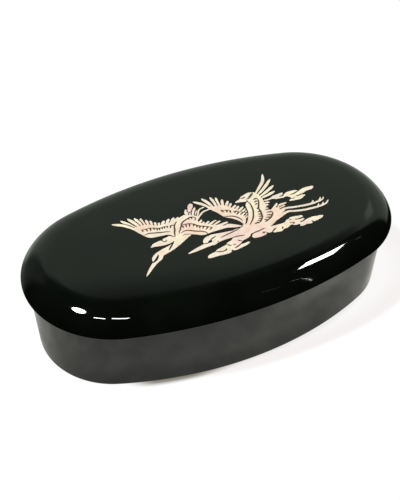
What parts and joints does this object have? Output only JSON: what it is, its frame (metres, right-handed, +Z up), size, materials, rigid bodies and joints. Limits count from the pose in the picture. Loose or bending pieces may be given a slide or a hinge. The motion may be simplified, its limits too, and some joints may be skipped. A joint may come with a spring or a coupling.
{
  "type": "decorative box",
  "caption": "Oval gloss black lacquer trinket box: a hollow tray with rounded ends under an overhanging pillow-shaped lift-off lid with an inlaid crane picture.",
  "frame": {"origin": "centre of the underside, on the surface the box stands on", "axes": "+X along the box's length, +Y across its width, +Z up; the inlaid picture is upright seen from -Y"},
  "size_m": [0.18, 0.1, 0.0469],
  "materials": {
    "base_lacquer": "black lacquer, gloss with a faint orange-peel ripple",
    "lid_lacquer": "polished piano-black lacquer over a flush pale foil inlay of cranes and clouds"
  },
  "bodies": {
    "root": {"base": "base_lacquer", "lid": "lid_lacquer"}
  },
  "joints": []
}
